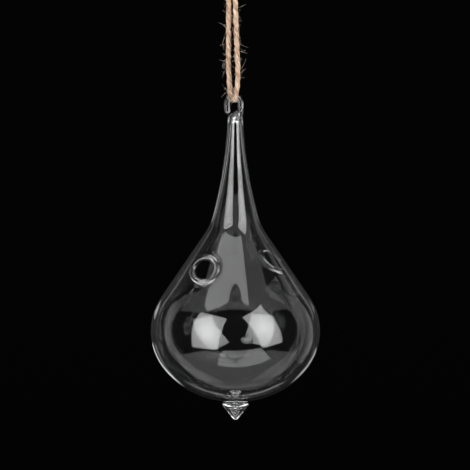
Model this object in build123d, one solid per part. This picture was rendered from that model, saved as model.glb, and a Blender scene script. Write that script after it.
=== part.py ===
"""Hanging propagation vase: a clear flame-worked glass drop that hangs on a loop of jute twine.

Millimetres, +Z up. The origin is the hang point, the inside of the twine loop's top.
Heights named "height" below are counted from the bulb's widest level.
"""
import os
from math import acos, asin, atan2, cos, degrees, hypot, pi, radians, sin, tan

from build123d import *

os.makedirs("parts", exist_ok=True)

# Bulb and neck, drawn from one glass tube
bulb_diameter = 85.5
bowl_depth = 35.7
shoulder_radius = 30.0
flare_radius = 25.0
neck_curve_radius = 225.0
neck_foot_height = 57.0
neck_length = 48.7
neck_top_diameter = 7.5
neck_top_lean = 3.0
glass_wall = 1.3
neck_plug = 2.0

# Eye at the top, a solid rod bent into an open curl
rod_diameter = 2.8
eye_radius = 3.4
eye_offset = 0.75
eye_height = 8.0
crook_height = 5.5
crook_mid_height_share = 0.49
crook_mid_place_share = 0.2
crook_mid_radius_share = 0.76
curl_tail_drop = 3.8
curl_tail_tuck = 0.4

# Finial, a solid glass point under the bulb
finial_diameter = 13.5
finial_length = 8.1
finial_waist_diameter = 5.0
finial_groove = 1.95
finial_dish = 0.35
finial_tip_radius = 1.4
finial_tip_slope = 50.0

# Two mouths on the shoulder, each with a thick fire-polished lip
mouth_height = 33.7
mouth_bore_diameter = 9.8
lip_diameter = 15.2
lip_proud = 1.1
lip_depth = 2.6
lip_rounding = 1.1
front_mouth_azimuth = -35.8
front_mouth_turn = 8.0
front_mouth_lean = -3.0
rear_mouth_azimuth = 133.0
rear_mouth_turn = 0.0
rear_mouth_lean = 1.0

# Twine
twine_diameter = 2.4
cord_drop = 84.9
vase_offset = 1.9
knot_diameter = 8.4
knot_drop = 24.4
knot_offset = 0.15
bight_turn = 8.0
bight_bend_share = 0.92
bend_share = 0.45
loop_points = [(-1.5, -22.0), (-5.2, -5.0), (-3.6, 1.2), (3.6, 1.2), (5.3, -5.0), (1.7, -22.0)]
left_leg_spread = (-1.45, 2.3, -74.0)
left_leg_top = (-1.2, 0.0, -28.9)
right_leg_spread = (3.1, -2.3, -75.5)
right_leg_top = (1.5, 0.0, -28.9)
left_tail_points = [(-5.6, -0.9, -0.5), (-10.2, -1.4, -3.0), (-13.4, -0.8, -7.0)]
right_tail_points = [(5.2, -1.0, -0.9), (9.4, -0.7, -4.0), (11.6, 0.2, -8.6)]

# Shared
clearance = 0.3
overrun = 2.0

bulb_radius = bulb_diameter / 2
neck_top_height = neck_foot_height + neck_length
neck_top_radius = neck_top_diameter / 2
rod_radius = rod_diameter / 2
twine_radius = twine_diameter / 2
knot_radius = knot_diameter / 2
bar_height = neck_top_height + eye_height + eye_radius
glass_origin = Pos(vase_offset, 0, -cord_drop - bar_height)
bar_center = Vector(vase_offset - eye_offset, 0, -cord_drop)
knot_center = Vector(knot_offset, 0, -knot_drop)


def outward(lean):
    """Unit vector in the side view that leans up from the horizontal by so many degrees."""
    return Vector(cos(radians(lean)), sin(radians(lean)))


# Side profile: bowl, shoulder arc, cone, flare arc and neck arc, each tangent to the next
neck_center = Vector(neck_top_radius, neck_top_height) + outward(neck_top_lean) * neck_curve_radius
neck_foot_lean = degrees(asin((neck_center.Y - neck_foot_height) / neck_curve_radius))
neck_foot = neck_center - outward(neck_foot_lean) * neck_curve_radius
flare_center = neck_foot + outward(neck_foot_lean) * flare_radius
shoulder_center = Vector(bulb_radius - shoulder_radius, 0)
center_span = flare_center - shoulder_center
span_lean = degrees(atan2(center_span.Y, center_span.X))
radii_share = (shoulder_radius + flare_radius) / hypot(center_span.X, center_span.Y)
cone_lean = span_lean - degrees(acos(radii_share))
# The finial's waist sits on a small flat at the bowl's pole
pole_turn = degrees(asin(finial_waist_diameter / bulb_diameter))
pole_height = -bowl_depth * cos(radians(pole_turn))


def bowl_arc(inset):
    """Quarter of an ellipse as one curve, from the finial's waist to the widest level."""
    radius = bulb_radius - inset
    depth = bowl_depth - inset
    start = radians(pole_turn)
    foot = Vector(radius * sin(start), -depth * cos(start))
    handle_share = 4 / 3 * tan((pi / 2 - start) / 4)
    foot_handle = foot + Vector(radius * cos(start), depth * sin(start)) * handle_share
    return Bezier(foot, foot_handle, (radius, -depth * handle_share), (radius, 0))


def side_face(inset, top_height):
    """Half of the side view, inset from the outside of the glass and cut level at the top."""
    shoulder = shoulder_radius - inset
    flare = flare_radius + inset
    neck = neck_curve_radius + inset
    bowl = bowl_arc(inset)
    pole = (0, (bowl @ 0).Y)
    top_lean = degrees(asin((neck_center.Y - top_height) / neck))
    cone_foot = shoulder_center + outward(cone_lean) * shoulder
    cone_top = flare_center - outward(cone_lean) * flare
    top_edge = neck_center - outward(top_lean) * neck
    outline = [
        Line(pole, bowl @ 0),
        bowl,
        CenterArc(shoulder_center, shoulder, 0, cone_lean),
        Line(cone_foot, cone_top),
        CenterArc(flare_center, flare, 180 + cone_lean, neck_foot_lean - cone_lean),
        CenterArc(neck_center, neck, 180 + neck_foot_lean, top_lean - neck_foot_lean),
        Line(top_edge, (0, top_height)),
        Line((0, top_height), pole),
    ]
    return Plane.XZ * make_face(outline)


def mouth_plane(azimuth, turn, lean):
    """Plane of a mouth on the cone, with its axis pointing out of the bulb."""
    cone_foot = shoulder_center + outward(cone_lean) * shoulder_radius
    reach = cone_foot.X - (mouth_height - cone_foot.Y) * tan(radians(cone_lean))
    place = Vector(reach * sin(radians(azimuth)), -reach * cos(radians(azimuth)), mouth_height)
    level = outward(cone_lean + lean)
    facing = radians(azimuth + turn)
    axis = Vector(level.X * sin(facing), -level.X * cos(facing), level.Y)
    return Plane(origin=place, z_dir=axis)


def mouth_lip():
    """Ring with rounded edges, its axis on Z and the bulb's outside at height zero."""
    bore_radius = mouth_bore_diameter / 2
    width = lip_diameter / 2 - bore_radius
    section = Rectangle(width, lip_proud + lip_depth)
    rounding = min(lip_rounding, bend_share * width)
    section = fillet(section.vertices(), rounding)
    middle = Pos(bore_radius + width / 2, (lip_proud - lip_depth) / 2)
    return revolve(Plane.XZ * middle * section, Axis.Z)


def hanging_eye():
    """Crook that narrows from the neck to the rod, the rod's curl and its rounded tip."""
    rod_place = eye_radius - eye_offset
    curl_center = (-eye_offset, neck_top_height + eye_height)
    crook_top = (rod_place, neck_top_height + crook_height)
    mid_radius = rod_radius + (neck_top_radius - rod_radius) * crook_mid_radius_share
    sections = [
        Pos(0, 0, neck_top_height) * Circle(neck_top_radius),
        Pos(
            rod_place * crook_mid_place_share,
            0,
            neck_top_height + crook_height * crook_mid_height_share,
        ) * Circle(mid_radius),
        Pos(crook_top[0], 0, crook_top[1]) * Circle(rod_radius),
    ]
    tail_start = (-eye_offset - eye_radius, curl_center[1])
    tail_end = (tail_start[0] + curl_tail_tuck, tail_start[1] - curl_tail_drop)
    path = Plane.XZ * Wire([
        Line(crook_top, (crook_top[0], curl_center[1])),
        CenterArc(curl_center, eye_radius, 0, 180),
        TangentArc(tail_start, tail_end, tangent=(0, -1)),
    ])
    rod = sweep(Pos(crook_top[0], 0, crook_top[1]) * Circle(rod_radius), path)
    tip = Pos(tail_end[0], 0, tail_end[1]) * Sphere(rod_radius)
    return loft(sections) + rod + tip


def finial():
    """Solid point: a narrow waist under the bulb's pole, a dished top and slightly bulging sides."""
    shoulder = finial_diameter / 2
    waist = finial_waist_diameter / 2
    top = -bowl_depth - finial_groove
    tip_center = (0, top - finial_length + finial_tip_radius)
    tip = CenterArc(tip_center, finial_tip_radius, 270, finial_tip_slope)
    outline = [
        tip,
        TangentArc(tip @ 1, (shoulder, top), tangent=tip % 1),
        Line((shoulder, top), (waist, top + finial_dish)),
        Line((waist, top + finial_dish), (waist, pole_height)),
        Line((waist, pole_height), (0, pole_height)),
        Line((0, pole_height), tip @ 0),
    ]
    return revolve(Plane.XZ * make_face(outline), Axis.Z)


def bend_radii(points):
    """Radius at each inner point: as large as its two runs allow."""
    radii = []
    for before, corner, after in zip(points, points[1:], points[2:]):
        first_run = Vector(corner) - Vector(before)
        second_run = Vector(after) - Vector(corner)
        shorter = min(first_run.length, second_run.length)
        half_turn = radians(first_run.get_angle(second_run)) / 2
        radii.append(bend_share * shorter / tan(half_turn))
    return radii


def twine(name, points, radii=None):
    """Tube along straight runs and tangent arcs."""
    radii = radii or bend_radii(points)
    path = FilletPolyline(*points, radius=radii) if radii else Line(*points)
    section = Plane(origin=path @ 0, z_dir=path % 0) * Circle(twine_radius)
    tube = sweep(section, path)
    section_volume = section.area * path.length
    print(name, "radii", [round(radius, 1) for radius in radii], "length", round(path.length, 1),
          "volume share", round(tube.volume / section_volume, 4))
    return tube


# Glass pieces
outside = revolve(side_face(0, neck_top_height), Axis.Z)
cavity = revolve(side_face(glass_wall, neck_top_height - neck_plug), Axis.Z)
vessel = outside - cavity
joint_plane = Plane.XY.offset(neck_foot_height)
bulb = split(vessel, bisect_by=joint_plane, keep=Keep.BOTTOM)
mouths = {
    "front_mouth_lip": mouth_plane(front_mouth_azimuth, front_mouth_turn, front_mouth_lean),
    "rear_mouth_lip": mouth_plane(rear_mouth_azimuth, rear_mouth_turn, rear_mouth_lean),
}
glass = {}
for name, plane in mouths.items():
    seat = Pos(0, 0, (lip_proud - lip_depth) / 2) * Cylinder(
        lip_diameter / 2, lip_proud + lip_depth + 2 * overrun)
    bulb = bulb - plane * seat
    glass[name] = plane * mouth_lip()
glass["bulb_shell"] = bulb
glass["neck_tube"] = split(vessel, bisect_by=joint_plane, keep=Keep.TOP)
glass["hanging_eye"] = hanging_eye()
glass["bottom_finial"] = finial()

# Twine: the bight goes down behind the eye's bar, through the eye and up in front of it
bight_radius = (rod_radius + twine_radius + clearance) / cos(radians(bight_turn))
across = Vector(sin(radians(bight_turn)), -cos(radians(bight_turn)), 0) * bight_radius
rise = Vector(0, 0, bight_radius)
back_upper = bar_center - across + rise
front_upper = bar_center + across + rise
left_joint = (back_upper + Vector(left_leg_spread)) / 2
right_joint = (front_upper + Vector(right_leg_spread)) / 2
bight_points = [
    left_joint,
    back_upper,
    bar_center - across - rise,
    bar_center + across - rise,
    front_upper,
    right_joint,
]
upper_bends = bend_radii(bight_points)
round_bar = bight_radius * bight_bend_share
bight_radii = [upper_bends[0] / 2, round_bar, round_bar, upper_bends[-1] / 2]

knot = Pos(knot_center) * Sphere(knot_radius)
knot_room = Pos(knot_center) * Sphere(knot_radius + clearance)


def tail(name, points):
    """Cut end of the twine, out of the knot's side."""
    route = [knot_center] + [knot_center + Vector(point) for point in points]
    return twine(name, route) - knot


ropes = {
    "hanging_loop": twine("hanging_loop", [(x, 0, z) for x, z in loop_points]) - knot_room,
    "twine_knot": knot,
    "twine_tail_left": tail("twine_tail_left", left_tail_points),
    "twine_tail_right": tail("twine_tail_right", right_tail_points),
    "twine_leg_left": twine("twine_leg_left", [left_leg_top, left_leg_spread, left_joint]),
    "twine_leg_right": twine("twine_leg_right", [right_leg_top, right_leg_spread, right_joint]),
    "eye_bight": twine("eye_bight", bight_points, bight_radii),
}

for name, solid in glass.items():
    export_step(glass_origin * solid, f"parts/{name}.step")
for name, solid in ropes.items():
    export_step(solid, f"parts/{name}.step")

print("cone lean", round(cone_lean, 2), "bar", bar_center, "bight radius", round(bight_radius, 2))
for name, plane in mouths.items():
    placed = glass_origin * Location(plane)
    print(name, placed.position, plane.z_dir)
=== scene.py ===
"""Looks of the hanging propagation vase: seamless glass drop, jute twine, studio light and camera.

Sizes are in millimetres, as in the part's source, and are turned into metres where a mesh is made.
"""
import math
import random

import bpy
import numpy as np
from mathutils import Matrix, Vector, geometry


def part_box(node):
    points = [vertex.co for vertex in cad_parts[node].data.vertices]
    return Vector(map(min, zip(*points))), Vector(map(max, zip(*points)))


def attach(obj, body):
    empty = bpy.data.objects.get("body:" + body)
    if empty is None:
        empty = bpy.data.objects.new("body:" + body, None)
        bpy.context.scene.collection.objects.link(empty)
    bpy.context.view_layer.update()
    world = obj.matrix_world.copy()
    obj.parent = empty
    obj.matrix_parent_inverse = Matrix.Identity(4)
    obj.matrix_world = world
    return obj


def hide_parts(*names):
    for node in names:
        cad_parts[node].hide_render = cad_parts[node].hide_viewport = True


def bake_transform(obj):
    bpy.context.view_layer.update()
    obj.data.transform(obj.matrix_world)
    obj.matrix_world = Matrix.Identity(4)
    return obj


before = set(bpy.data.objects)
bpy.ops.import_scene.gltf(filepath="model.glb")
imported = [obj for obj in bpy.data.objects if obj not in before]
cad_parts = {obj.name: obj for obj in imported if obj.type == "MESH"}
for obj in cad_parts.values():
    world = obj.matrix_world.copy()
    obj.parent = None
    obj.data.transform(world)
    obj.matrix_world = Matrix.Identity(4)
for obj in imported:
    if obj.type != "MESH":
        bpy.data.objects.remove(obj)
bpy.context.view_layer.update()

scene = bpy.context.scene
mm = 0.001

# Where the glass hangs
bulb_low, bulb_high = (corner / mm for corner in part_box("bulb_shell"))
bulb_radius = (bulb_high.x - bulb_low.x) / 2
axis_x = (bulb_high.x + bulb_low.x) / 2
neck_foot_height = 57.0
widest_z = bulb_high.z - neck_foot_height

# Camera: the frame is 470 px wide, and a pixel is half a millimetre at the vase's axis
photo_size_px = 470
photo_axis_px = 235.4
photo_widest_px = 331.0
pixel = 0.5
camera_elevation = math.radians(6.5)
camera_distance = 900.0
sensor = 36.0


def to_frame(points):
    """Points counted from the glass's axis and widest level, turned into metres in the part's frame."""
    return (np.asarray(points, float) + (axis_x, 0, widest_z)) * mm


def make_camera():
    """Camera that looks down a little, framed as the photo is."""
    data = bpy.data.cameras.new("camera")
    camera = bpy.data.objects.new("camera", data)
    scene.collection.objects.link(camera)
    middle = photo_size_px / 2
    aim = Vector(to_frame((
        (middle - photo_axis_px) * pixel,
        0,
        (photo_widest_px - middle) * pixel / math.cos(camera_elevation),
    )))
    back = Vector((0, -math.cos(camera_elevation), math.sin(camera_elevation)))
    camera.location = aim + back * camera_distance * mm
    camera.rotation_mode = "QUATERNION"
    camera.rotation_quaternion = (-back).to_track_quat("-Z", "Y")
    data.sensor_width = sensor
    data.lens = sensor * camera_distance / (photo_size_px * pixel)
    scene.camera = camera


make_camera()

# Twine routes, near the part's own: the legs' lower ends follow the photo more closely, and the roots of
# the cut ends stand forward, clear of the loop
leg_points = [
    (-1.2, 0.0, -28.9),
    (-1.7, 1.6, -66.0),
    (-1.1, 2.5, -77.5),
    (-0.75, 2.9, -83.0),
    (0.75, 2.9, -88.2),
    (1.5, -2.9, -88.2),
    (2.35, -2.9, -83.0),
    (3.3, -2.5, -75.5),
    (2.6, -1.4, -60.0),
    (1.5, 0.0, -28.9),
]
loop_points = [
    (-1.5, 0, -22.0),
    (-5.2, 0, -5.0),
    (-3.6, 0, 1.2),
    (3.6, 0, 1.2),
    (5.3, 0, -5.0),
    (1.7, 0, -22.0),
]
knot_center = np.array((0.15, 0.0, -24.4))
# The twine's cut ends, counted from the knot
tail_points = {
    "left": [(-2.4, -1.9, -1.0), (-5.2, -2.5, -1.3), (-10.2, -2.2, -3.2), (-13.4, -0.8, -7.0)],
    "right": [(2.4, -1.9, -1.2), (5.0, -2.5, -1.6), (9.4, -1.6, -4.2), (11.6, 0.2, -8.6)],
}


def route(name, points, step):
    """Points about a step apart on the smooth spline that has the given control points."""
    curve = bpy.data.curves.new(name, "CURVE")
    curve.dimensions = "3D"
    curve.resolution_u = 24
    spline = curve.splines.new("NURBS")
    spline.points.add(len(points) - 1)
    for place, point in zip(spline.points, points):
        place.co = (*point, 1)
    spline.order_u = 3
    spline.use_endpoint_u = True
    holder = bpy.data.objects.new(name, curve)
    scene.collection.objects.link(holder)
    mesh = bpy.data.meshes.new_from_object(holder)
    line = np.array([vertex.co for vertex in mesh.vertices])
    bpy.data.objects.remove(holder)
    bpy.data.curves.remove(curve)
    bpy.data.meshes.remove(mesh)
    return evenly(line, step)


def full_turn(count):
    """Evenly spaced angles around a circle."""
    return np.linspace(0, 2 * math.pi, count, endpoint=False)


def lengths(line):
    """Distance along a line at each of its points."""
    runs = np.linalg.norm(np.diff(line, axis=0), axis=1)
    return np.concatenate([[0], np.cumsum(runs)])


def evenly(line, step):
    """The same line with its points about a step apart."""
    along = lengths(line)
    count = max(2, round(along[-1] / step) + 1)
    places = np.linspace(0, along[-1], count)
    return np.column_stack([np.interp(places, along, line[:, k]) for k in range(line.shape[1])])


def finish_mesh(name, points, faces, normals=None):
    """A smooth mesh object, from points in metres."""
    mesh = bpy.data.meshes.new(name)
    mesh.from_pydata(np.asarray(points).tolist(), [], faces)
    mesh.polygons.foreach_set("use_smooth", [True] * len(mesh.polygons))
    if normals is not None:
        mesh.normals_split_custom_set_from_vertices(np.asarray(normals).tolist())
    mesh.update()
    piece = bpy.data.objects.new(name, mesh)
    scene.collection.objects.link(piece)
    return piece


# Glass sizes, as in the part's source, counted from the widest level
bowl_depth = 35.7
shoulder_radius = 30.0
flare_radius = 25.0
neck_curve_radius = 225.0
neck_top_height = 105.7
neck_top_radius = 3.75
neck_top_lean = 3.0
glass_wall = 1.3
# How finely the glass is drawn, and how far its curves ease into each other
outline_step = 0.25
ease_reach = 3.0
ring_step = 1.2
ring_stride = round(ring_step / outline_step)
segments = 144
# The hollow's two ends, in the base and at the neck's top
base_hollow_reach = 7.2
base_hollow_step = 0.16
base_hollow_cut = 0.4
hollow_top_height = 109.0
hollow_cap_height = 7.0
hollow_cap_points = 14
cap_low_rise = 0.5
cap_high_reach = 0.55
cap_high_drop = 0.1


def lean_vector(lean):
    """Unit vector in the side view that leans up from the horizontal by so many degrees."""
    return np.array([math.cos(math.radians(lean)), math.sin(math.radians(lean))])


def arc(center, radius, first, last, count=60):
    """Points on an arc in the side view."""
    turns = np.radians(np.linspace(first, last, count))
    return np.asarray(center) + radius * np.column_stack([np.cos(turns), np.sin(turns)])


def bezier(*points, count=9):
    """Points on a quadratic or cubic curve."""
    places = np.linspace(0, 1, count)[:, None]
    degree = len(points) - 1
    return sum(
        math.comb(degree, k) * places ** k * (1 - places) ** (degree - k) * np.asarray(point)
        for k, point in enumerate(points))


def body_outline():
    """Outside of the bulb and neck in the side view, from the pole up, its curvature evened out."""
    top = np.array([neck_top_radius, neck_top_height])
    neck_center = top + lean_vector(neck_top_lean) * neck_curve_radius
    neck_rise = neck_center[1] - neck_foot_height
    neck_foot_lean = math.degrees(math.asin(neck_rise / neck_curve_radius))
    neck_foot = neck_center - lean_vector(neck_foot_lean) * neck_curve_radius
    flare_center = neck_foot + lean_vector(neck_foot_lean) * flare_radius
    shoulder_center = np.array([bulb_radius - shoulder_radius, 0])
    span = flare_center - shoulder_center
    span_lean = math.atan2(span[1], span[0])
    cone_turn = math.acos((shoulder_radius + flare_radius) / math.hypot(*span))
    cone_lean = math.degrees(span_lean - cone_turn)
    bowl = arc((0, 0), 1, -90, 0) * (bulb_radius, bowl_depth)
    shoulder = arc(shoulder_center, shoulder_radius, 0, cone_lean)
    flare = arc(flare_center, flare_radius, 180 + cone_lean, 180 + neck_foot_lean)
    neck = arc(neck_center, neck_curve_radius, 180 + neck_foot_lean, 180 + neck_top_lean)
    line = evenly(np.vstack([bowl, shoulder, flare, neck]), outline_step)
    count = round(3 * ease_reach / outline_step)
    weights = np.exp(-(np.arange(-count, count + 1) * outline_step / ease_reach) ** 2 / 2)
    weights /= weights.sum()

    def eased(points):
        """Points averaged with their neighbours along the outline."""
        below = points[count:0:-1] * (-1, 1)
        above = 2 * points[-1] - points[-2:-count - 2:-1]
        padded = np.vstack([below, points, above])
        return np.column_stack([np.convolve(padded[:, k], weights, "valid") for k in (0, 1)])

    smooth = eased(line)
    return smooth + eased(line - smooth)


def outward_sides(line):
    """Unit vectors that point out of an outline, which runs upward."""
    along = np.gradient(line, axis=0)
    sides = np.column_stack([along[:, 1], -along[:, 0]])
    return sides / np.linalg.norm(sides, axis=1)[:, None]


outer_line = body_outline()
# Inside of the base, radius and height: a bubble in the point, a narrow throat, and a collar that
# the drawn glass leaves standing on the bulb's floor
bubble = [(0.0, -44.2), (0.3, -43.9), (3.4, -39.9), (4.2, -39.0), (3.9, -38.6), (1.9, -38.2)]
throat = [(1.6, -37.6), (1.45, -35.9), (1.7, -34.4)]
collar = [(2.6, -31.9), (3.0, -31.7), (3.3, -32.1), (3.5, -33.2), (4.4, -34.0), (5.6, -34.2)]
base_hollow = bubble + throat + collar


def rounded(points, cuts, count=7):
    """Straight runs with their corners rounded, each from a cut before it to a cut after it."""
    line = [np.asarray(points[:1])]
    for before, corner, after, cut in zip(points, points[1:], points[2:], cuts):
        first, second = before - corner, after - corner
        run_in, run_out = np.linalg.norm(first), np.linalg.norm(second)
        start = corner + first * min(cut / run_in, 0.5)
        end = corner + second * min(cut / run_out, 0.5)
        line.append(bezier(start, corner, end, count=count))
    line.append(np.asarray(points[-1:]))
    return np.vstack(line)


def hollow_outline():
    """Inside of the base, bulb and neck in the side view, from the point up to the neck's closed end."""
    line = outer_line - outward_sides(outer_line) * glass_wall
    line = line[np.searchsorted(line[:, 0], base_hollow_reach):]
    corners = np.vstack([base_hollow, line[:1]])
    base = evenly(rounded(corners, [base_hollow_cut] * len(base_hollow)), base_hollow_step)
    line = np.vstack([base[:-1], line])
    cap_foot = hollow_top_height - hollow_cap_height
    line = line[line[:, 1] < cap_foot]
    cap_radius = line[-1][0]
    low_hand = (cap_radius, cap_foot + hollow_cap_height * cap_low_rise)
    high_hand = (cap_radius * cap_high_reach, hollow_top_height - hollow_cap_height * cap_high_drop)
    tip = (0, hollow_top_height)
    cap = bezier(line[-1], low_hand, high_hand, tip, count=hollow_cap_points)
    return np.vstack([line, cap[1:]])


inner_line = hollow_outline()

# Finial
finial_radius = 6.75
finial_length = 8.1
finial_waist_radius = 2.5
finial_groove = 1.95
finial_dish = 0.35
finial_tip_radius = 1.4
finial_tip_slope = 50.0
finial_rim_cut = 0.22
finial_waist_cut = 0.45
finial_bulge = 0.52
pole_points = 40


def bowl_height(radius):
    """Height of the bulb's outside at a radius near its pole."""
    return np.interp(radius, *outer_line[:pole_points].T)


def finial_outline():
    """Point from its tip up over the rim and the waist to the bulb."""
    top = -bowl_depth - finial_groove
    tip_center = (0, top - finial_length + finial_tip_radius)
    tip = arc(tip_center, finial_tip_radius, 270, 270 + finial_tip_slope, count=10)
    rim = np.array([finial_radius, top])
    reach = np.linalg.norm(rim - tip[-1])
    hand = tip[-1] + lean_vector(finial_tip_slope) * reach * finial_bulge
    side = bezier(tip[-1], hand, rim, count=16)
    waist_low = np.array([finial_waist_radius, top + finial_dish])
    seat = finial_waist_radius + finial_waist_cut
    waist_high = np.array([finial_waist_radius, bowl_height(finial_waist_radius)])
    bowl = np.array([seat, bowl_height(seat)])
    cuts = [finial_rim_cut, finial_waist_cut, finial_waist_cut]
    bends = rounded([side[-3], rim, waist_low, waist_high, bowl], cuts)
    return np.vstack([tip, side[1:-2], bends[1:]])


# Eye: a solid rod bent into an open curl
rod_radius = 1.4
eye_radius = 3.4
eye_offset = 0.75
eye_height = 8.0
crook_height = 5.5
crook_skew = 1.6
curl_tail_drop = 3.7
curl_tail_tuck = 0.3
crook_rings = 18
rod_rings = 4
curl_rings = 34
tail_rings = 9
tip_rings = 9


def smooth_step(places):
    """Share that eases in and out, for places from zero to one."""
    return places * places * (3 - 2 * places)


def eye_rings():
    """Rings of the crook, curl and rounded tip: center x and z, direction x and z, and radius."""
    rod_place = eye_radius - eye_offset
    places = np.linspace(0, 1, crook_rings)[1:]
    share = smooth_step(places ** crook_skew)
    radii = neck_top_radius + (rod_radius - neck_top_radius) * share
    right_edge = neck_top_radius + (rod_place + rod_radius - neck_top_radius) * places
    rings = [(edge - radius, neck_top_height + crook_height * place, 0, 1, radius)
             for edge, place, radius in zip(right_edge, places, radii)]
    curl_z = neck_top_height + eye_height
    for height in np.linspace(neck_top_height + crook_height, curl_z, rod_rings)[1:-1]:
        rings.append((rod_place, height, 0, 1, rod_radius))
    for turn in np.linspace(0, math.pi, curl_rings):
        x = eye_radius * math.cos(turn) - eye_offset
        z = curl_z + eye_radius * math.sin(turn)
        rings.append((x, z, -math.sin(turn), math.cos(turn), rod_radius))
    tail_x = -eye_radius - eye_offset
    for place in np.linspace(0, 1, tail_rings)[1:]:
        lean = np.array([2 * curl_tail_tuck * place, -curl_tail_drop])
        lean /= np.linalg.norm(lean)
        x = tail_x + curl_tail_tuck * place ** 2
        rings.append((x, curl_z - curl_tail_drop * place, *lean, rod_radius))
    end_x, end_z, lean_x, lean_z, radius = rings[-1]
    for turn in np.radians(np.linspace(0, 90, tip_rings)[1:-1]):
        reach = radius * math.sin(turn)
        x, z = end_x + lean_x * reach, end_z + lean_z * reach
        rings.append((x, z, lean_x, lean_z, radius * math.cos(turn)))
    pole = (end_x + lean_x * radius, 0, end_z + lean_z * radius)
    return rings, pole, (lean_x, 0, lean_z)


# Mouths
mouth_height = 33.7
lip_blend_radius = 10.4
lip_bore_radius = 4.9
lip_half_width = 1.3
lip_half_height = 0.95
lip_middle_height = 0.15
lip_first_turn = math.radians(25)
lip_last_turn = math.radians(235)
lip_hand = 0.45
lip_slope_gap = 0.2
lip_segments = 96
lip_bead_points = 40
lip_fillet_points = 12
mouth_window = 14.5
mouth_margin = 0.6
weld_gap = 1e-6
meet_low, meet_high, meet_rounds = -12.0, 6.0, 40
# Front and rear: azimuth from the front, turn and lean against the bulb's own side there, and size
mouths = [(-35.8, 14.0, -7.0, 1.0), (131.0, 0.0, 1.0, 1.1)]


class Glass:
    """Collects the points, normals and faces of the seamless glass."""

    def __init__(self):
        self.points = []
        self.normals = []
        self.faces = []

    def add(self, points, normals):
        """Adds points with their normals, and returns their numbers in the same layout."""
        first = len(self.points)
        self.points.extend(np.reshape(points, (-1, 3)))
        self.normals.extend(np.reshape(normals, (-1, 3)))
        return np.arange(first, len(self.points)).reshape(np.shape(points)[:-1])

    def quads(self, ids, left_out=()):
        """Faces between rings that close on themselves, but for the left out cells."""
        rows, count = ids.shape
        for row in range(rows - 1):
            for column in range(count):
                if (row, column) in left_out:
                    continue
                after = (column + 1) % count
                low, high = ids[row], ids[row + 1]
                self.faces.append((low[column], low[after], high[after], high[column]))

    def pole(self, point, normal):
        """Adds the single point that closes a row of rings."""
        return self.add(np.array([point]), [normal])[0]

    def fan(self, pole, ring):
        """Faces between a ring and the pole that closes it."""
        for column in range(len(ring)):
            self.faces.append((pole, ring[column], ring[(column + 1) % len(ring)]))


def grid_normals(grid):
    """Normals of a grid of closed rings, from its own neighbours."""
    runs = np.diff(grid, axis=0)
    runs /= np.linalg.norm(runs, axis=2)[..., None]
    along = np.concatenate([runs[:1], runs[:-1] + runs[1:], runs[-1:]])
    around = np.roll(grid, -1, axis=1) - np.roll(grid, 1, axis=1)
    normals = np.cross(around, along)
    return normals / np.linalg.norm(normals, axis=2)[..., None]


def revolved(line):
    """Rings of points about the glass's axis."""
    turns = full_turn(segments)
    return np.stack([
        np.outer(line[:, 0], np.cos(turns)),
        np.outer(line[:, 0], np.sin(turns)),
        np.repeat(line[:, 1:], segments, axis=1),
    ], axis=2)


class Side:
    """One side of the glass wall, outer or inner, as a surface about the axis."""

    def __init__(self, line):
        self.line = line
        self.along = lengths(line)
        above = line[:, 1] >= 0
        self.heights = line[above, 1]
        self.radii = line[above, 0]
        self.upper_along = self.along[above]
        self.slopes = np.gradient(self.radii, self.heights)

    def radius(self, height):
        """Radius at a height above the widest level."""
        return np.interp(height, self.heights, self.radii)

    def flat(self, points):
        """Turn and distance along the outline, where points above the widest level lie."""
        turns = np.arctan2(points[:, 1], points[:, 0]) % (2 * math.pi)
        return turns, np.interp(points[:, 2], self.heights, self.upper_along)

    def normals(self, points):
        """Unit normals away from the axis, at points above the widest level."""
        around = np.hypot(points[:, 0], points[:, 1])
        slope = np.interp(points[:, 2], self.heights, self.slopes)
        normals = np.column_stack([points[:, 0] / around, points[:, 1] / around, -slope])
        return normals / np.linalg.norm(normals, axis=1)[:, None]

    def meet(self, places, axis):
        """How far along the axis the surface lies from each place."""
        low = np.full(len(places), meet_low)
        high = np.full(len(places), meet_high)
        for _ in range(meet_rounds):
            middle = (low + high) / 2
            points = places + middle[:, None] * axis
            outside = np.hypot(points[:, 0], points[:, 1]) > self.radius(points[:, 2])
            high = np.where(outside, middle, high)
            low = np.where(outside, low, middle)
        return (low + high) / 2


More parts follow.
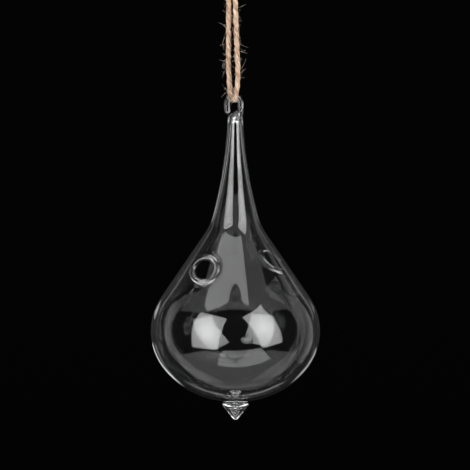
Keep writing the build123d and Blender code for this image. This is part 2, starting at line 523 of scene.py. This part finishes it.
def lip_grid(outer, inner, azimuth, turn, lean, size):
    """Rings of a mouth's lip, from the bulb's outside over the bead and bore to its inside."""
    reach = outer.radius(mouth_height)
    direction = math.radians(azimuth)
    center = np.array([reach * math.sin(direction), -reach * math.cos(direction), mouth_height])
    wall_normal = outer.normals(center[None])[0]
    tilt = math.asin(wall_normal[2]) + math.radians(lean)
    facing = direction + math.radians(turn)
    axis = np.array([
        math.cos(tilt) * math.sin(facing),
        -math.cos(tilt) * math.cos(facing),
        math.sin(tilt),
    ])
    across = np.cross((0, 0, 1), axis)
    across /= np.linalg.norm(across)
    upward = np.cross(axis, across)
    turns = full_turn(lip_segments)
    spokes = np.outer(np.cos(turns), across) + np.outer(np.sin(turns), upward)

    def edge(side):
        """Where a side of the wall starts to blend, and its slope along each spoke."""
        near = side.meet(center + spokes * (lip_blend_radius - lip_slope_gap), axis)
        far = side.meet(center + spokes * (lip_blend_radius + lip_slope_gap), axis)
        return (near + far) / 2, (far - near) / (2 * lip_slope_gap)

    outer_heights, outer_slopes = edge(outer)
    inner_heights, inner_slopes = edge(inner)
    # The bead follows the wall's curve but not its slope, so that it lies square to the mouth's axis
    bends = (outer_heights + np.roll(outer_heights, lip_segments // 2)) / 2
    middle = np.array([(lip_bore_radius + lip_half_width) * size, lip_middle_height])
    bead_turns = np.linspace(lip_first_turn, lip_last_turn, lip_bead_points)
    cosines, sines = np.cos(bead_turns), np.sin(bead_turns)
    bead = middle + np.column_stack([cosines * lip_half_width, sines * lip_half_height])
    ways = np.column_stack([-sines * lip_half_width, cosines * lip_half_height])
    ways /= np.linalg.norm(ways, axis=1)[:, None]
    sections = []
    for k in range(lip_segments):
        start = np.array([lip_blend_radius, outer_heights[k]])
        end = np.array([lip_blend_radius, inner_heights[k]])
        ring = bead + (0, bends[k] * (middle[0] / lip_blend_radius) ** 2)
        out_reach = np.linalg.norm(ring[0] - start) * lip_hand
        in_reach = np.linalg.norm(ring[-1] - end) * lip_hand
        out_fillet = bezier(start, start - np.array([1, outer_slopes[k]]) * out_reach,
                            ring[0] - ways[0] * out_reach, ring[0], count=lip_fillet_points)
        in_fillet = bezier(ring[-1], ring[-1] + ways[-1] * in_reach,
                           end - np.array([1, inner_slopes[k]]) * in_reach, end, count=lip_fillet_points)
        sections.append(np.vstack([out_fillet[:-1], ring, in_fillet[1:]]))
    sections = np.array(sections).transpose(1, 0, 2)
    return center + sections[..., :1] * spokes + sections[..., 1:] * axis


def inside(points, loop):
    """Which flat points lie inside a closed loop."""
    x, y = points[:, :1], points[:, 1:]
    x0, y0 = loop[:, 0], loop[:, 1]
    x1, y1 = np.roll(x0, -1), np.roll(y0, -1)
    crosses = (y0 > y) != (y1 > y)
    rise = np.where(y1 == y0, 1, y1 - y0)
    return (crosses & (x < x0 + (y - y0) / rise * (x1 - x0))).sum(axis=1) % 2 == 1


def open_mouth(glass, side, ids, rows, loop_ids, loop_points):
    """Joins a mouth's loop to the rings around it, and returns the cells that it takes from them."""
    turns, along = side.flat(loop_points)
    reach = side.radius(mouth_height)
    loop = np.column_stack([turns * reach, along])
    middle = loop.mean(axis=0)
    ring_along = np.interp(rows, np.arange(len(side.along)), side.along)
    columns = full_turn(segments) * reach
    picked_rows = np.where(abs(ring_along - middle[1]) < mouth_window)[0]
    picked_columns = np.where(abs(columns - middle[0]) < mouth_window)[0]
    cells = {(row, column) for row in picked_rows[:-1] for column in picked_columns[:-1]}
    wide = middle + (loop - middle) * (1 + mouth_margin / lip_blend_radius)
    picked = [(row, column) for row in picked_rows for column in picked_columns]
    flat = np.array([(columns[column], ring_along[row]) for row, column in picked])
    known = np.array([ids[row, column] for row, column in picked])
    keep = ~inside(flat, wide)
    flat, known = np.vstack([flat[keep], loop]), np.concatenate([known[keep], loop_ids])
    first = len(flat) - len(loop)
    edges = [(first + k, first + (k + 1) % len(loop)) for k in range(len(loop))]
    made = geometry.delaunay_2d_cdt([Vector(place) for place in flat], edges, [], 0, weld_gap)
    places, faces, sources = np.array([tuple(v) for v in made[0]]), made[2], made[3]
    centers = np.array([places[list(face)].mean(axis=0) for face in faces])
    for face, hidden in zip(faces, inside(centers, loop)):
        if not hidden:
            glass.faces.append(tuple(known[sources[corner][0]] for corner in face))
    return cells


def sampled(line, rows):
    """Points of an outline at the given rows of it."""
    return np.column_stack([np.interp(rows, np.arange(len(line)), line[:, k]) for k in (0, 1)])


def eye_ring(x, z, way_x, way_z, radius):
    """Points of one ring of the eye."""
    turns = full_turn(segments)
    across = radius * np.cos(turns)
    return np.column_stack([x + across * way_z, radius * np.sin(turns), z - across * way_x])


def make_glass():
    """The whole drop as one closed mesh: outside, inside, lips, eye and finial."""
    glass = Glass()
    outer, inner = Side(outer_line), Side(inner_line)
    finial = finial_outline()
    body_from = np.searchsorted(outer_line[:, 0], finial[-1, 0] + ring_step / 2)
    body_rows = np.arange(body_from, len(outer_line), ring_stride, dtype=float)
    body = sampled(outer_line, body_rows)
    eye, eye_pole, eye_way = eye_rings()
    eye_grid = np.array([eye_ring(*ring) for ring in eye])
    finial_rows = len(finial) - 1
    grid = np.vstack([revolved(finial[1:]), revolved(body), eye_grid])
    ids = glass.add(grid, grid_normals(grid))
    body_ids = ids[finial_rows:finial_rows + len(body)]
    foot_pole = glass.pole((0, 0, finial[0, 1]), (0, 0, -1))
    top_pole = glass.pole(eye_pole, eye_way)
    bulb_from = np.argmax(inner_line[:, 0] > base_hollow_reach)
    cap_from = len(inner_line) - hollow_cap_points
    hollow_rows = np.concatenate([np.arange(1, bulb_from), np.arange(bulb_from, cap_from, ring_stride)])
    hollow = np.vstack([sampled(inner_line, hollow_rows), inner_line[cap_from + 1:-1]])
    hollow_grid = revolved(hollow)
    hollow_ids = glass.add(hollow_grid, -grid_normals(hollow_grid))
    low_pole = glass.pole((0, 0, inner_line[0, 1]), (0, 0, 1))
    high_pole = glass.pole((0, 0, inner_line[-1, 1]), (0, 0, -1))
    outer_cells, inner_cells = set(), set()
    for facts in mouths:
        lip = lip_grid(outer, inner, *facts)
        normals = grid_normals(lip)
        normals[0] = outer.normals(lip[0])
        normals[-1] = -inner.normals(lip[-1])
        lip_ids = glass.add(lip, normals)
        glass.quads(lip_ids)
        cells = open_mouth(glass, outer, body_ids, body_rows, lip_ids[0], lip[0])
        outer_cells |= {(row + finial_rows, column) for row, column in cells}
        inner_cells |= open_mouth(glass, inner, hollow_ids, hollow_rows, lip_ids[-1], lip[-1])
    glass.quads(ids, outer_cells)
    glass.quads(hollow_ids, inner_cells)
    glass.fan(foot_pole, ids[0])
    glass.fan(top_pole, ids[-1])
    glass.fan(low_pole, hollow_ids[0])
    glass.fan(high_pole, hollow_ids[-1])
    return glass


def turn_faces(points, normals, faces):
    """Faces wound so that each agrees with the normals of its corners."""
    wound = []
    for face in faces:
        corners = points[list(face)]
        way = np.cross(corners[1] - corners[0], corners[2] - corners[0])
        facing = normals[list(face)].sum(axis=0)
        wound.append(tuple(face) if way @ facing > 0 else tuple(face[::-1]))
    return wound


def glass_piece():
    """The glass as an object, without the points that the mouths took."""
    glass = make_glass()
    used = np.unique(np.concatenate([np.array(face) for face in glass.faces]))
    place = {old: new for new, old in enumerate(used)}
    points = np.array(glass.points)[used]
    normals = np.array(glass.normals)[used]
    faces = [tuple(place[corner] for corner in face) for face in glass.faces]
    faces = turn_faces(points, normals, faces)
    return finish_mesh("glass_drop", to_frame(points), faces, normals)


def new_material(name):
    """A material with its nodes, links and shader."""
    material = bpy.data.materials.new(name)
    material.use_nodes = True
    nodes = material.node_tree.nodes
    return material, nodes, material.node_tree.links, nodes["Principled BSDF"]


def glass_material():
    """Clear borosilicate with the faint unevenness of blown glass."""
    material, nodes, links, shader = new_material("clear_glass")
    shader.inputs["Base Color"].default_value = (0.985, 0.99, 0.99, 1)
    shader.inputs["Transmission Weight"].default_value = 1
    shader.inputs["IOR"].default_value = 1.473
    place = nodes.new("ShaderNodeTexCoord")
    film = nodes.new("ShaderNodeTexNoise")
    film.inputs["Scale"].default_value = 60
    film.inputs["Detail"].default_value = 3
    spread = nodes.new("ShaderNodeMapRange")
    spread.inputs["From Min"].default_value = 0.45
    spread.inputs["From Max"].default_value = 0.8
    spread.inputs["To Min"].default_value = 0.0
    spread.inputs["To Max"].default_value = 0.03
    links.new(place.outputs["Object"], film.inputs["Vector"])
    links.new(film.outputs["Fac"], spread.inputs["Value"])
    links.new(spread.outputs["Result"], shader.inputs["Roughness"])
    return material


glass_drop = glass_piece()
glass_drop.data.materials.append(glass_material())
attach(glass_drop, "vase")
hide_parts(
    "bulb_shell", "neck_tube", "hanging_eye", "bottom_finial", "front_mouth_lip", "rear_mouth_lip")

# Twine: three plies laid up left-handed, with loose fibres
ply_count = 3
ply_radius = 0.63
ply_offset = 0.60
ply_lay = 15.0
ply_sides = 14
yarn_lay = 8.0
twine_step = 0.4
# How much a ply drifts and over what length: its lead in radians, its offset and radius in shares
lead_drift = (0.15, 14)
offset_drift = (0.10, 11)
radius_drift = (0.09, 8)
# A ply's ridges: height as a share of its radius, count, and how much and over what length they drift
coarse_ridges = (0.09, 4, 2, 17)
fine_ridges = (0.035, 9, 3, 7)
# The waves in a drift: their shares of its length, their phases' span and the height of their sum
drift_shares = (1.0, 0.61, 0.37)
drift_phase = 7
drift_height = 1.4
fray_spread = 1.3
fray_thinning = 0.45
fibre_gap = 97
# A direction that no line of twine starts along
side_hint = (0.3, 1, 0.2)

# Where the twine bears on the glass bar
bar_center = np.array((0.0, -84.9))
bar_clear_radius = 1.43
hug_inner_radius = 2.1
hug_share = 0.54
hug_least_reach = 0.1
hug_top, hug_full = -81.5, -84.9

# Loose fibres: how they leave the twine and bend. From loose_tone up, the fibre coordinate of one says
# that it is paler than the twine
loose_tone = 1000.0
loose_tone_span = 50.0
hair_sides = 3
hair_steps = 8
hair_margin = 4
hair_taper = 0.35
hair_thickness = (0.03, 0.06)
hair_out = (0.25, 1.0)
hair_along = (-1, 1)
hair_around = (-0.6, 0.6)
hair_bend = 0.32
hair_bend_rate = 0.9
hair_root = 0.55
hair_limit = 3.2
wisp_limit = 9.0
wisp_margin = 30
# Count, shortest and longest
leg_hairs = (420, 0.8, 4.0)
leg_wisps = (60, 2.5, 7.0)
knot_hairs = (50, 0.8, 4.0)
tail_hairs = (30, 0.8, 4.0)
loop_hairs = (80, 0.8, 4.5)
# The longest loose fibres, as they stand in the photo
stray_fibres = [
    [(3.4, -0.9, -40.9), (5.2, -1.2, -40.4), (7.4, -1.4, -39.1)],
    [(-3.0, 0.4, -50.5), (-4.6, 0.2, -49.2), (-5.8, 0.0, -48.2), (-6.8, 0.0, -48.2)],
    [(3.4, -1.2, -62.7), (5.4, -1.5, -62.3), (7.2, -1.8, -61.6)],
    [(3.8, -1.9, -71.6), (5.7, -2.2, -70.2), (6.7, -2.4, -67.7), (7.2, -2.4, -65.6)],
    [(-3.0, 1.0, -55.0), (-4.6, 0.6, -57.2), (-4.8, 0.5, -59.2), (-3.6, 0.8, -61.8)],
    [(-2.8, 1.2, -66.5), (-4.4, 0.8, -67.6), (-6.0, 0.5, -66.2)],
    [(3.6, -1.7, -74.5), (5.0, -2.0, -75.8), (6.6, -2.0, -75.2)],
]
stray_thickness = 0.05


def hugged(points):
    """Points near the glass bar drawn in towards it, where the twine's pull flattens it."""
    rel = points[:, 1:] - bar_center
    reach = np.hypot(rel[:, 0], rel[:, 1])
    drawn = np.maximum(bar_clear_radius, bar_clear_radius + (reach - hug_inner_radius) * hug_share)
    weight = smooth_step(np.clip((hug_top - points[:, 2]) / (hug_top - hug_full), 0, 1))
    scale = 1 + (drawn / np.maximum(reach, hug_least_reach) - 1) * weight
    moved = points.copy()
    moved[:, 1:] = bar_center + rel * scale[:, None]
    return moved


def frames_along(line):
    """Tangents and two sides for each point of a line, without needless turning."""
    tangents = np.gradient(line, axis=0)
    tangents /= np.linalg.norm(tangents, axis=1)[:, None]
    side = np.cross(tangents[0], side_hint)
    sides = []
    for tangent in tangents:
        side = side - tangent * (side @ tangent)
        side = side / np.linalg.norm(side)
        sides.append(side)
    sides = np.array(sides)
    return tangents, sides, np.cross(tangents, sides)


def spokes_about(turns, first, second):
    """Unit vectors at the given turns between two sides, for each point of a line."""
    return np.cos(turns)[None, :, None] * first[:, None] + np.sin(turns)[None, :, None] * second[:, None]


def drift(dice, places, amount, wave):
    """Smooth random run about zero, of an amount and over a length."""
    run = 0
    for share in drift_shares:
        phase = dice.uniform(0, drift_phase)
        run = run + math.sqrt(share) * np.sin(places * 2 * math.pi / (wave * share) + phase)
    return amount * (run / drift_height)


class Yarn:
    """Collects the points, faces and fibre coordinates of a stretch of twine."""

    def __init__(self):
        self.points = []
        self.fibres = []
        self.faces = []

    def tube(self, rings, fibres):
        """Tube through rings of points, closed at both ends."""
        first = len(self.points)
        rows, count = rings.shape[:2]
        self.points.extend(rings.reshape(-1, 3))
        self.fibres.extend(fibres.reshape(-1, 3))
        for row in range(rows - 1):
            low = first + row * count
            high = low + count
            for column in range(count):
                after = (column + 1) % count
                self.faces.append((low + column, low + after, high + after, high + column))
        last = first + (rows - 1) * count
        self.faces.append(tuple(first + column for column in range(count))[::-1])
        self.faces.append(tuple(last + column for column in range(count)))

    def plies(self, dice, line, fray=0.0):
        """The plies about a line. Fray opens them near its far end, over so many millimetres."""
        along = lengths(line)
        _, sides, others = frames_along(line)
        turns = full_turn(ply_sides)
        opening = np.zeros(len(line))
        if fray:
            opening = np.clip((along - along[-1] + fray) / fray, 0, 1) ** 2
        for ply in range(ply_count):
            lead = -2 * math.pi * along / ply_lay + ply * 2 * math.pi / ply_count
            lead = lead + drift(dice, along, *lead_drift)
            offset = ply_offset * (1 + drift(dice, along, *offset_drift)) * (1 + fray_spread * opening)
            leads = np.cos(lead)[:, None] * sides + np.sin(lead)[:, None] * others
            center = line + offset[:, None] * leads
            radius = ply_radius * (1 + drift(dice, along, *radius_drift)) * (1 - fray_thinning * opening)
            _, first_side, second_side = frames_along(center)
            swirl = turns[None, :] + 2 * math.pi * along[:, None] / yarn_lay
            ridges = 1
            for height, count, amount, wave in (coarse_ridges, fine_ridges):
                sway = drift(dice, along, amount, wave)[:, None]
                ridges = ridges + height * np.sin(count * swirl + sway)
            reach = radius[:, None] * ridges
            rings = center[:, None] + reach[..., None] * spokes_about(turns, first_side, second_side)
            run = np.repeat(along[:, None] + fibre_gap * ply, ply_sides, axis=1)
            self.tube(rings, np.stack([np.cos(swirl), np.sin(swirl), run], 2))

    def hair(self, dice, line, thick):
        """One loose fibre, a thin tapered tube along a line."""
        _, sides, others = frames_along(line)
        taper = thick * np.linspace(1, hair_taper, len(line))
        turns = full_turn(hair_sides)
        rings = line[:, None] + taper[:, None, None] * spokes_about(turns, sides, others)
        tone = loose_tone + dice.uniform(0, loose_tone_span)
        self.tube(rings, np.full(rings.shape, tone))

    def hairs(self, dice, line, count, shortest, longest, limit):
        """Loose fibres that leave the twine and curl, none further than a limit from its line."""
        tangents, sides, others = frames_along(line)
        made = 0
        while made < count:
            at = dice.randrange(hair_margin, len(line) - hair_margin)
            angle = dice.uniform(0, 2 * math.pi)
            out = math.cos(angle) * sides[at] + math.sin(angle) * others[at]
            around = np.cross(tangents[at], out)
            way = out * dice.uniform(*hair_out)
            way = way + tangents[at] * dice.uniform(*hair_along)
            way = way + around * dice.uniform(*hair_around)
            way /= np.linalg.norm(way)
            bend = np.array([dice.gauss(0, 1) for _ in range(3)]) * hair_bend
            place = line[at] + out * (ply_offset + ply_radius * hair_root)
            reach = shortest + (longest - shortest) * dice.random() ** 2
            points = [place]
            for _ in range(hair_steps):
                place = place + way * reach / hair_steps
                way = way + bend * reach / hair_steps * hair_bend_rate
                way /= np.linalg.norm(way)
                points.append(place)
            points = np.array(points)
            far = np.linalg.norm(points[:, None] - line[None], axis=2).min(axis=1).max()
            if far > limit:
                continue
            self.hair(dice, points, dice.uniform(*hair_thickness))
            made += 1

    def piece(self, name, material):
        """The collected twine as an object."""
        mesh_piece = finish_mesh(name, np.array(self.points) * mm, self.faces)
        attribute = mesh_piece.data.attributes.new("fibre", "FLOAT_VECTOR", "POINT")
        attribute.data.foreach_set("vector", np.array(self.fibres, np.float32).ravel())
        mesh_piece.data.materials.append(material)
        return mesh_piece


def jute_material():
    """Natural jute: pale and dark fibres along each ply, rough, with a soft sheen."""
    material, nodes, links, shader = new_material("jute_twine")
    fibre = nodes.new("ShaderNodeAttribute")
    fibre.attribute_name = "fibre"

    def streaks(scale, detail):
        """Noise stretched along the fibres."""
        stretch = nodes.new("ShaderNodeMapping")
        stretch.inputs["Scale"].default_value = scale
        noise = nodes.new("ShaderNodeTexNoise")
        noise.inputs["Scale"].default_value = 1
        noise.inputs["Detail"].default_value = detail
        links.new(fibre.outputs["Vector"], stretch.inputs["Vector"])
        links.new(stretch.outputs["Vector"], noise.inputs["Vector"])
        return noise.outputs["Fac"]

    fine = streaks((1.9, 1.9, 0.30), 4)
    patches = streaks((0.8, 0.8, 0.12), 2)
    blend = nodes.new("ShaderNodeMix")
    blend.inputs["Factor"].default_value = 0.42
    links.new(fine, blend.inputs["A"])
    links.new(patches, blend.inputs["B"])
    ramp = nodes.new("ShaderNodeValToRGB")
    tones = ((0.36, (0.25, 0.115, 0.066, 1)), (0.45, (0.44, 0.26, 0.162, 1)),
             (0.54, (0.60, 0.425, 0.30, 1)), (0.64, (0.84, 0.67, 0.52, 1)))
    ramp.color_ramp.elements[0].position, ramp.color_ramp.elements[0].color = tones[0]
    ramp.color_ramp.elements[1].position, ramp.color_ramp.elements[1].color = tones[-1]
    for position, color in tones[1:-1]:
        ramp.color_ramp.elements.new(position).color = color
    links.new(blend.outputs["Result"], ramp.inputs["Fac"])
    apart = nodes.new("ShaderNodeSeparateXYZ")
    loose = nodes.new("ShaderNodeMath")
    loose.operation = "GREATER_THAN"
    loose.inputs[1].default_value = loose_tone - 1
    pale = nodes.new("ShaderNodeMixRGB")
    pale.inputs["Color2"].default_value = (0.78, 0.66, 0.56, 1)
    links.new(fibre.outputs["Vector"], apart.inputs["Vector"])
    links.new(apart.outputs["Z"], loose.inputs[0])
    links.new(loose.outputs["Value"], pale.inputs["Fac"])
    links.new(ramp.outputs["Color"], pale.inputs["Color1"])
    links.new(pale.outputs["Color"], shader.inputs["Base Color"])
    shader.inputs["Sheen Weight"].default_value = 0.25
    shader.inputs["Sheen Roughness"].default_value = 0.5
    shader.inputs["Specular IOR Level"].default_value = 0.3
    rough = nodes.new("ShaderNodeMapRange")
    rough.inputs["To Min"].default_value = 0.6
    rough.inputs["To Max"].default_value = 0.95
    links.new(fine, rough.inputs["Value"])
    links.new(rough.outputs["Result"], shader.inputs["Roughness"])
    bump = nodes.new("ShaderNodeBump")
    bump.inputs["Strength"].default_value = 0.6
    bump.inputs["Distance"].default_value = 0.0002
    links.new(fine, bump.inputs["Height"])
    links.new(bump.outputs["Normal"], shader.inputs["Normal"])
    return material


jute = jute_material()
# The knot's turns, how far the cut ends fray, and the seeds of the twine's randomness
knot_points = 24
knot_reach = 2.05
knot_reach_swing = 0.95
knot_depth = 1.25
tail_fray = 4.0
legs_seed, knot_seed, loop_seed = 11, 23, 37


def make_legs():
    """The two legs and the turn through the eye, one length of twine from the knot back to it."""
    dice = random.Random(legs_seed)
    line = route("legs_route", leg_points, twine_step)
    yarn = Yarn()
    yarn.plies(dice, line)
    yarn.hairs(dice, line, *leg_hairs, hair_limit)
    yarn.points = list(hugged(np.array(yarn.points)))
    legs = yarn.piece("legs_strands", jute)
    wisps = Yarn()
    wisps.hairs(dice, line[wisp_margin:-wisp_margin], *leg_wisps, wisp_limit)
    for points in stray_fibres:
        wisps.hair(dice, bezier(*points), stray_thickness)
    wisps.points = list(hugged(np.array(wisps.points)))
    wisp_piece = wisps.piece("legs_wisps", jute)
    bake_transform(legs)
    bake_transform(wisp_piece)
    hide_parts("twine_leg_left", "twine_leg_right", "eye_bight")
    return legs, wisp_piece, hugged(line)


def trefoil():
    """The turns of an overhand knot drawn tight."""
    turns = full_turn(knot_points)
    reach = knot_reach + knot_reach_swing * np.cos(3 * turns)
    x, z = reach * np.cos(2 * turns), reach * np.sin(2 * turns)
    return np.column_stack([x, knot_depth * np.sin(3 * turns), z]) + knot_center


def make_knot():
    """The knot's turns and the twine's two cut ends."""
    dice = random.Random(knot_seed)
    turns = trefoil()
    line = route("knot_route", np.vstack([turns, turns[:2]]).tolist(), twine_step)
    yarn = Yarn()
    yarn.plies(dice, line)
    yarn.hairs(dice, line, *knot_hairs, hair_limit)
    knot = yarn.piece("knot_turns", jute)
    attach(knot, "knot")
    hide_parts("twine_knot")
    tails = []
    for name, points in tail_points.items():
        line = route(name + "_tail_route", (np.array(points) + knot_center).tolist(), twine_step)
        yarn = Yarn()
        yarn.plies(dice, line, fray=tail_fray)
        yarn.hairs(dice, line, *tail_hairs, hair_limit)
        tail = yarn.piece(name + "_tail_strands", jute)
        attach(tail, "knot")
        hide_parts("twine_tail_" + name)
        tails.append(tail)
    return [knot, *tails]


def make_loop():
    """The loop over the nail."""
    dice = random.Random(loop_seed)
    line = route("loop_route", loop_points, twine_step)
    yarn = Yarn()
    yarn.plies(dice, line)
    yarn.hairs(dice, line, *loop_hairs, hair_limit)
    loop = yarn.piece("loop_strands", jute)
    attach(loop, "hanger")
    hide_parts("hanging_loop")
    return loop, line


legs, wisp_piece, leg_line = make_legs()
knot_pieces = make_knot()
loop, loop_line = make_loop()

# Light: two large softboxes in front, a board on each side, small lights and a card behind that draw
# the edges and the rear lip, a panel and a dim ceiling overhead, and a pale floor in front. Each stands
# where the glass mirrors it or bends it into view
light_center = Vector(to_frame((0, 0, 0)))


def area_light(name, place, facing, width, height, radiance):
    """Rectangular light at a place counted from the bulb's center, in metres."""
    data = bpy.data.lights.new(name, "AREA")
    data.shape = "RECTANGLE"
    data.size = width
    data.size_y = height
    data.energy = radiance * math.pi * width * height
    light = bpy.data.objects.new(name, data)
    scene.collection.objects.link(light)
    light.matrix_world = Matrix.Translation(light_center + Vector(place)) @ facing.to_4x4()
    light.visible_camera = False
    return data


def fade(light, center, reach, first, last):
    """Shades a light from first at a center to last at a reach, which are in shares of its size."""
    light.use_nodes = True
    nodes, links = light.node_tree.nodes, light.node_tree.links
    place = nodes.new("ShaderNodeNewGeometry")
    apart = nodes.new("ShaderNodeVectorMath")
    apart.operation = "DISTANCE"
    apart.inputs[1].default_value = (*center, 0)
    shade = nodes.new("ShaderNodeMapRange")
    shade.inputs["From Max"].default_value = reach
    shade.inputs["To Min"].default_value = first
    shade.inputs["To Max"].default_value = last
    links.new(place.outputs["Parametric"], apart.inputs[0])
    links.new(apart.outputs["Value"], shade.inputs["Value"])
    links.new(shade.outputs["Result"], nodes["Emission"].inputs["Strength"])


def softbox(name, azimuth, distance, width, height, radiance, rise=0.0, lean=0, roll=0):
    """Light on a stand. Azimuth zero is towards the camera and grows to the right; lean tips it down."""
    turn = math.radians(azimuth)
    place = Vector((math.sin(turn) * distance, -math.cos(turn) * distance, rise))
    tip = Matrix.Rotation(math.radians(-lean), 3, "X")
    way = Matrix.Rotation(turn, 3, "Z") @ tip @ Vector((0, 1, 0))
    facing = way.to_track_quat("-Z", "Y").to_matrix() @ Matrix.Rotation(math.radians(roll), 3, "Z")
    return area_light(name, place, facing, width, height, radiance)


left_box = softbox(
    "left_softbox", azimuth=-39.5, distance=0.72, width=0.54, height=0.86, radiance=4.4,
    rise=0.145, lean=16, roll=-4)
right_box = softbox(
    "right_softbox", azimuth=42.3, distance=0.72, width=0.47, height=0.955, radiance=4.4,
    rise=0.232, lean=20.5, roll=15)
for box in (left_box, right_box):
    fade(box, center=(0.5, 0.5), reach=0.5, first=1.3, last=0.8)
right_board = softbox(
    "right_reflector", azimuth=116, distance=1.2, width=0.46, height=1.6, radiance=0.3)
fade(right_board, center=(1.0, 0.5), reach=1.0, first=1.4, last=0.4)
softbox("left_reflector", azimuth=-105, distance=1.2, width=0.12, height=1.4, radiance=0.17)
softbox(
    "left_edge_light", azimuth=-151, distance=1.4, width=0.245, height=0.16, radiance=0.5, rise=0.045)
softbox(
    "right_edge_light", azimuth=151, distance=1.4, width=0.2, height=0.1, radiance=0.2, rise=0.09)
softbox(
    "left_kicker", azimuth=-161, distance=1.4, width=0.22, height=0.40, radiance=0.65,
    rise=-0.52, lean=-20)
softbox(
    "right_kicker", azimuth=158, distance=1.4, width=0.24, height=0.36, radiance=0.42,
    rise=-0.56, lean=-22)
softbox(
    "rear_card", azimuth=180, distance=1.4, width=0.6, height=0.2, radiance=0.8, rise=0.30, lean=12)
downward = Matrix.Identity(3)
area_light("overhead_panel", (-0.21, -0.27, 1.0), downward, width=1.06, height=0.61, radiance=1.9)
ceiling = area_light("ceiling", (0, 0.45, 1.2), downward, width=2.96, height=2.42, radiance=0.06)
fade(ceiling, center=(0.5, 0.0), reach=0.9, first=1.2, last=0.3)

# Room, in metres from the bulb's center
floor_left, floor_right = -0.65, 0.75
floor_front, floor_back = -0.67, 0.05
floor_height = -0.35
# The black cloth's edge in degrees from the view's middle, and the light of the cloth and the room
cloth_inner, cloth_outer = 11.5, 16
cloth_light, room_light = 0.0012, 0.03


def make_floor():
    """Plain pale table in front of the vase and well below it, out of the camera's sight."""
    corners = np.array([
        (floor_left, floor_front, floor_height),
        (floor_right, floor_front, floor_height),
        (floor_right, floor_back, floor_height),
        (floor_left, floor_back, floor_height),
    ])
    floor = finish_mesh("floor", corners + np.array(light_center), [(0, 1, 2, 3)])
    material, *_, shader = new_material("floor_paint")
    shader.inputs["Base Color"].default_value = (0.46, 0.46, 0.46, 1)
    shader.inputs["Roughness"].default_value = 0.8
    floor.data.materials.append(material)


def make_world():
    """Dim grey room, darker below, with a black cloth behind the vase."""
    world = bpy.data.worlds.new("world")
    scene.world = world
    world.use_nodes = True
    nodes, links = world.node_tree.nodes, world.node_tree.links
    background = nodes["Background"]
    place = nodes.new("ShaderNodeTexCoord")
    behind = nodes.new("ShaderNodeVectorMath")
    behind.operation = "DOT_PRODUCT"
    behind.inputs[1].default_value = (0, math.cos(camera_elevation), -math.sin(camera_elevation))
    shade = nodes.new("ShaderNodeMapRange")
    shade.inputs["From Min"].default_value = math.cos(math.radians(cloth_outer))
    shade.inputs["From Max"].default_value = math.cos(math.radians(cloth_inner))
    shade.inputs["To Min"].default_value = room_light
    shade.inputs["To Max"].default_value = cloth_light
    links.new(place.outputs["Generated"], behind.inputs[0])
    links.new(behind.outputs["Value"], shade.inputs["Value"])
    apart = nodes.new("ShaderNodeSeparateXYZ")
    below = nodes.new("ShaderNodeMapRange")
    below.inputs["From Min"].default_value = -0.5
    below.inputs["From Max"].default_value = -0.1
    below.inputs["To Min"].default_value = 0.25
    below.inputs["To Max"].default_value = 1.0
    dimmed = nodes.new("ShaderNodeMath")
    dimmed.operation = "MULTIPLY"
    links.new(place.outputs["Generated"], apart.inputs["Vector"])
    links.new(apart.outputs["Z"], below.inputs["Value"])
    links.new(shade.outputs["Result"], dimmed.inputs[0])
    links.new(below.outputs["Result"], dimmed.inputs[1])
    links.new(dimmed.outputs["Value"], background.inputs["Strength"])
    background.inputs["Color"].default_value = (1, 1, 1.02, 1)


make_floor()
make_world()
scene.view_settings.view_transform = "Standard"
